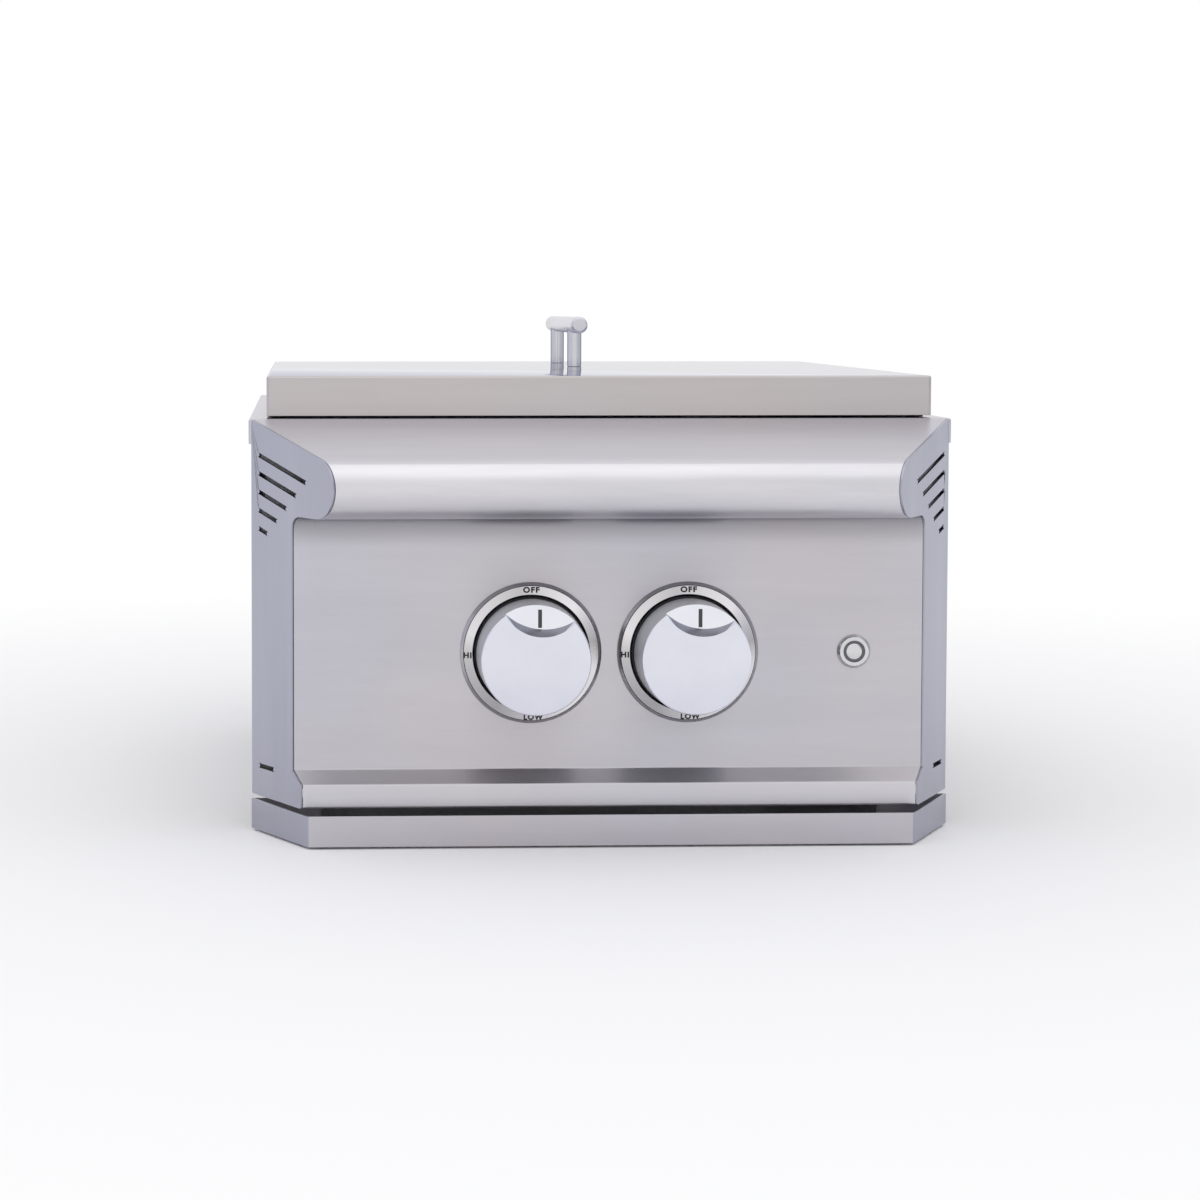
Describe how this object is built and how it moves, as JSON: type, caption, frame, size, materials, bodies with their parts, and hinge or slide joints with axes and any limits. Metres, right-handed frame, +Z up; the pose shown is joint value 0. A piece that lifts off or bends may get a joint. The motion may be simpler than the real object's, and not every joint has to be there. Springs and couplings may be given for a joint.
{
  "type": "built-in power burner",
  "caption": "Built-in outdoor gas power burner: ring burner under a lift-off lid, sloping bullnose control housing with turn knobs and a slide-out drip tray.",
  "frame": {"origin": "on the ground plane under the centre of the overall width and depth", "axes": "+X to the right seen from the front, +Y to the back, +Z up; the control panel faces -Y"},
  "size_m": [0.514, 0.625, 0.3735],
  "materials": {
    "brushed_sheet": "fine straight brushing along the sheet, satin",
    "firebox_sheet": "mill finish stainless sheet, slightly dull",
    "mill_steel": "plain mill finish sheet and pipe",
    "satin_steel": "turned satin steel",
    "handle_steel": "turned satin steel, lightly brushed round the axis",
    "polished_chrome": "mirror polished chrome plate",
    "pointer_ink": "dark grey filled line",
    "brass": "machined and cast brass, satin",
    "grate_steel": "heavy stainless bars, ground finish",
    "ceramic": "glazed white ceramic",
    "rubber": "matt heat-resistant rubber",
    "light_ring": "smoked translucent ring, unlit"
  },
  "bodies": {
    "chassis": {"deck_frame": "brushed_sheet", "top_hood": "brushed_sheet", "control_panel": "brushed_sheet", "end_cap_left": "brushed_sheet", "end_cap_right": "brushed_sheet", "heat_shield": "mill_steel", "firebox": "firebox_sheet", "grate_ledges": "mill_steel", "cooking_grate": "grate_steel", "wok_ring": "grate_steel", "outer_burner_ring": "brass", "inner_burner_ring": "brass", "outer_venturi": "firebox_sheet", "inner_venturi": "firebox_sheet", "burner_supports": "mill_steel", "support_screws": "satin_steel", "igniter_electrode": "ceramic", "igniter_bracket": "mill_steel", "gas_manifold": "mill_steel", "gas_inlet": "brass", "valve_body_left": "brass", "valve_body_right": "brass", "orifice_left": "brass", "orifice_right": "brass", "bezel_left": "polished_chrome", "bezel_right": "polished_chrome", "bezel_screws": "satin_steel", "button_housing": "satin_steel", "button_light_ring": "light_ring", "button_nut": "satin_steel", "tray_rail_left": "mill_steel", "tray_rail_right": "mill_steel", "rail_screws": "satin_steel"},
    "plug_left": {"valve_plug_left": "brass", "stem_spring_left": "satin_steel"},
    "plug_right": {"valve_plug_right": "brass", "stem_spring_right": "satin_steel"},
    "knob_left": {"knob_left": "polished_chrome", "knob_pointer_left": "pointer_ink", "valve_stem_left": "satin_steel"},
    "knob_right": {"knob_right": "polished_chrome", "knob_pointer_right": "pointer_ink", "valve_stem_right": "satin_steel"},
    "button": {"button_cap": "satin_steel"},
    "shutter_left": {"air_shutter_left": "satin_steel"},
    "shutter_right": {"air_shutter_right": "satin_steel"},
    "lid": {"lid_pan": "brushed_sheet", "lid_feet": "rubber", "handle_bar": "handle_steel", "handle_posts": "handle_steel", "handle_screws": "satin_steel"},
    "tray": {"drip_tray": "brushed_sheet"}
  },
  "joints": [
    {"name": "lid_lift", "type": "slide", "parent": "chassis", "child": "lid", "axis": [0, 0, 1], "range_m": [0, 0.2]},
    {"name": "tray_slide", "type": "slide", "parent": "chassis", "child": "tray", "axis": [0, -1, 0], "range_m": [0, 0.4]},
    {"name": "turn_left", "type": "hinge", "parent": "chassis", "child": "plug_left", "pos_m": [-0.056, -0.2395, 0.136], "axis": [0, -1, 0], "range_deg": [0, 186]},
    {"name": "push_left", "type": "slide", "parent": "plug_left", "child": "knob_left", "axis": [0, 1, 0], "range_m": [0, 0.004], "stiffness_N_per_m": 800},
    {"name": "turn_right", "type": "hinge", "parent": "chassis", "child": "plug_right", "pos_m": [0.056, -0.2395, 0.136], "axis": [0, -1, 0], "range_deg": [0, 186]},
    {"name": "push_right", "type": "slide", "parent": "plug_right", "child": "knob_right", "axis": [0, 1, 0], "range_m": [0, 0.004], "stiffness_N_per_m": 800},
    {"name": "button_press", "type": "slide", "parent": "chassis", "child": "button", "axis": [0, 1, 0], "range_m": [0, 0.002], "stiffness_N_per_m": 300},
    {"name": "shutter_left_turn", "type": "hinge", "parent": "chassis", "child": "shutter_left", "pos_m": [-0.056, -0.1965, 0.136], "axis": [0, 1, 0], "range_deg": [0, 90]},
    {"name": "shutter_right_turn", "type": "hinge", "parent": "chassis", "child": "shutter_right", "pos_m": [0.056, -0.1965, 0.136], "axis": [0, 1, 0], "range_deg": [0, 90]}
  ]
}
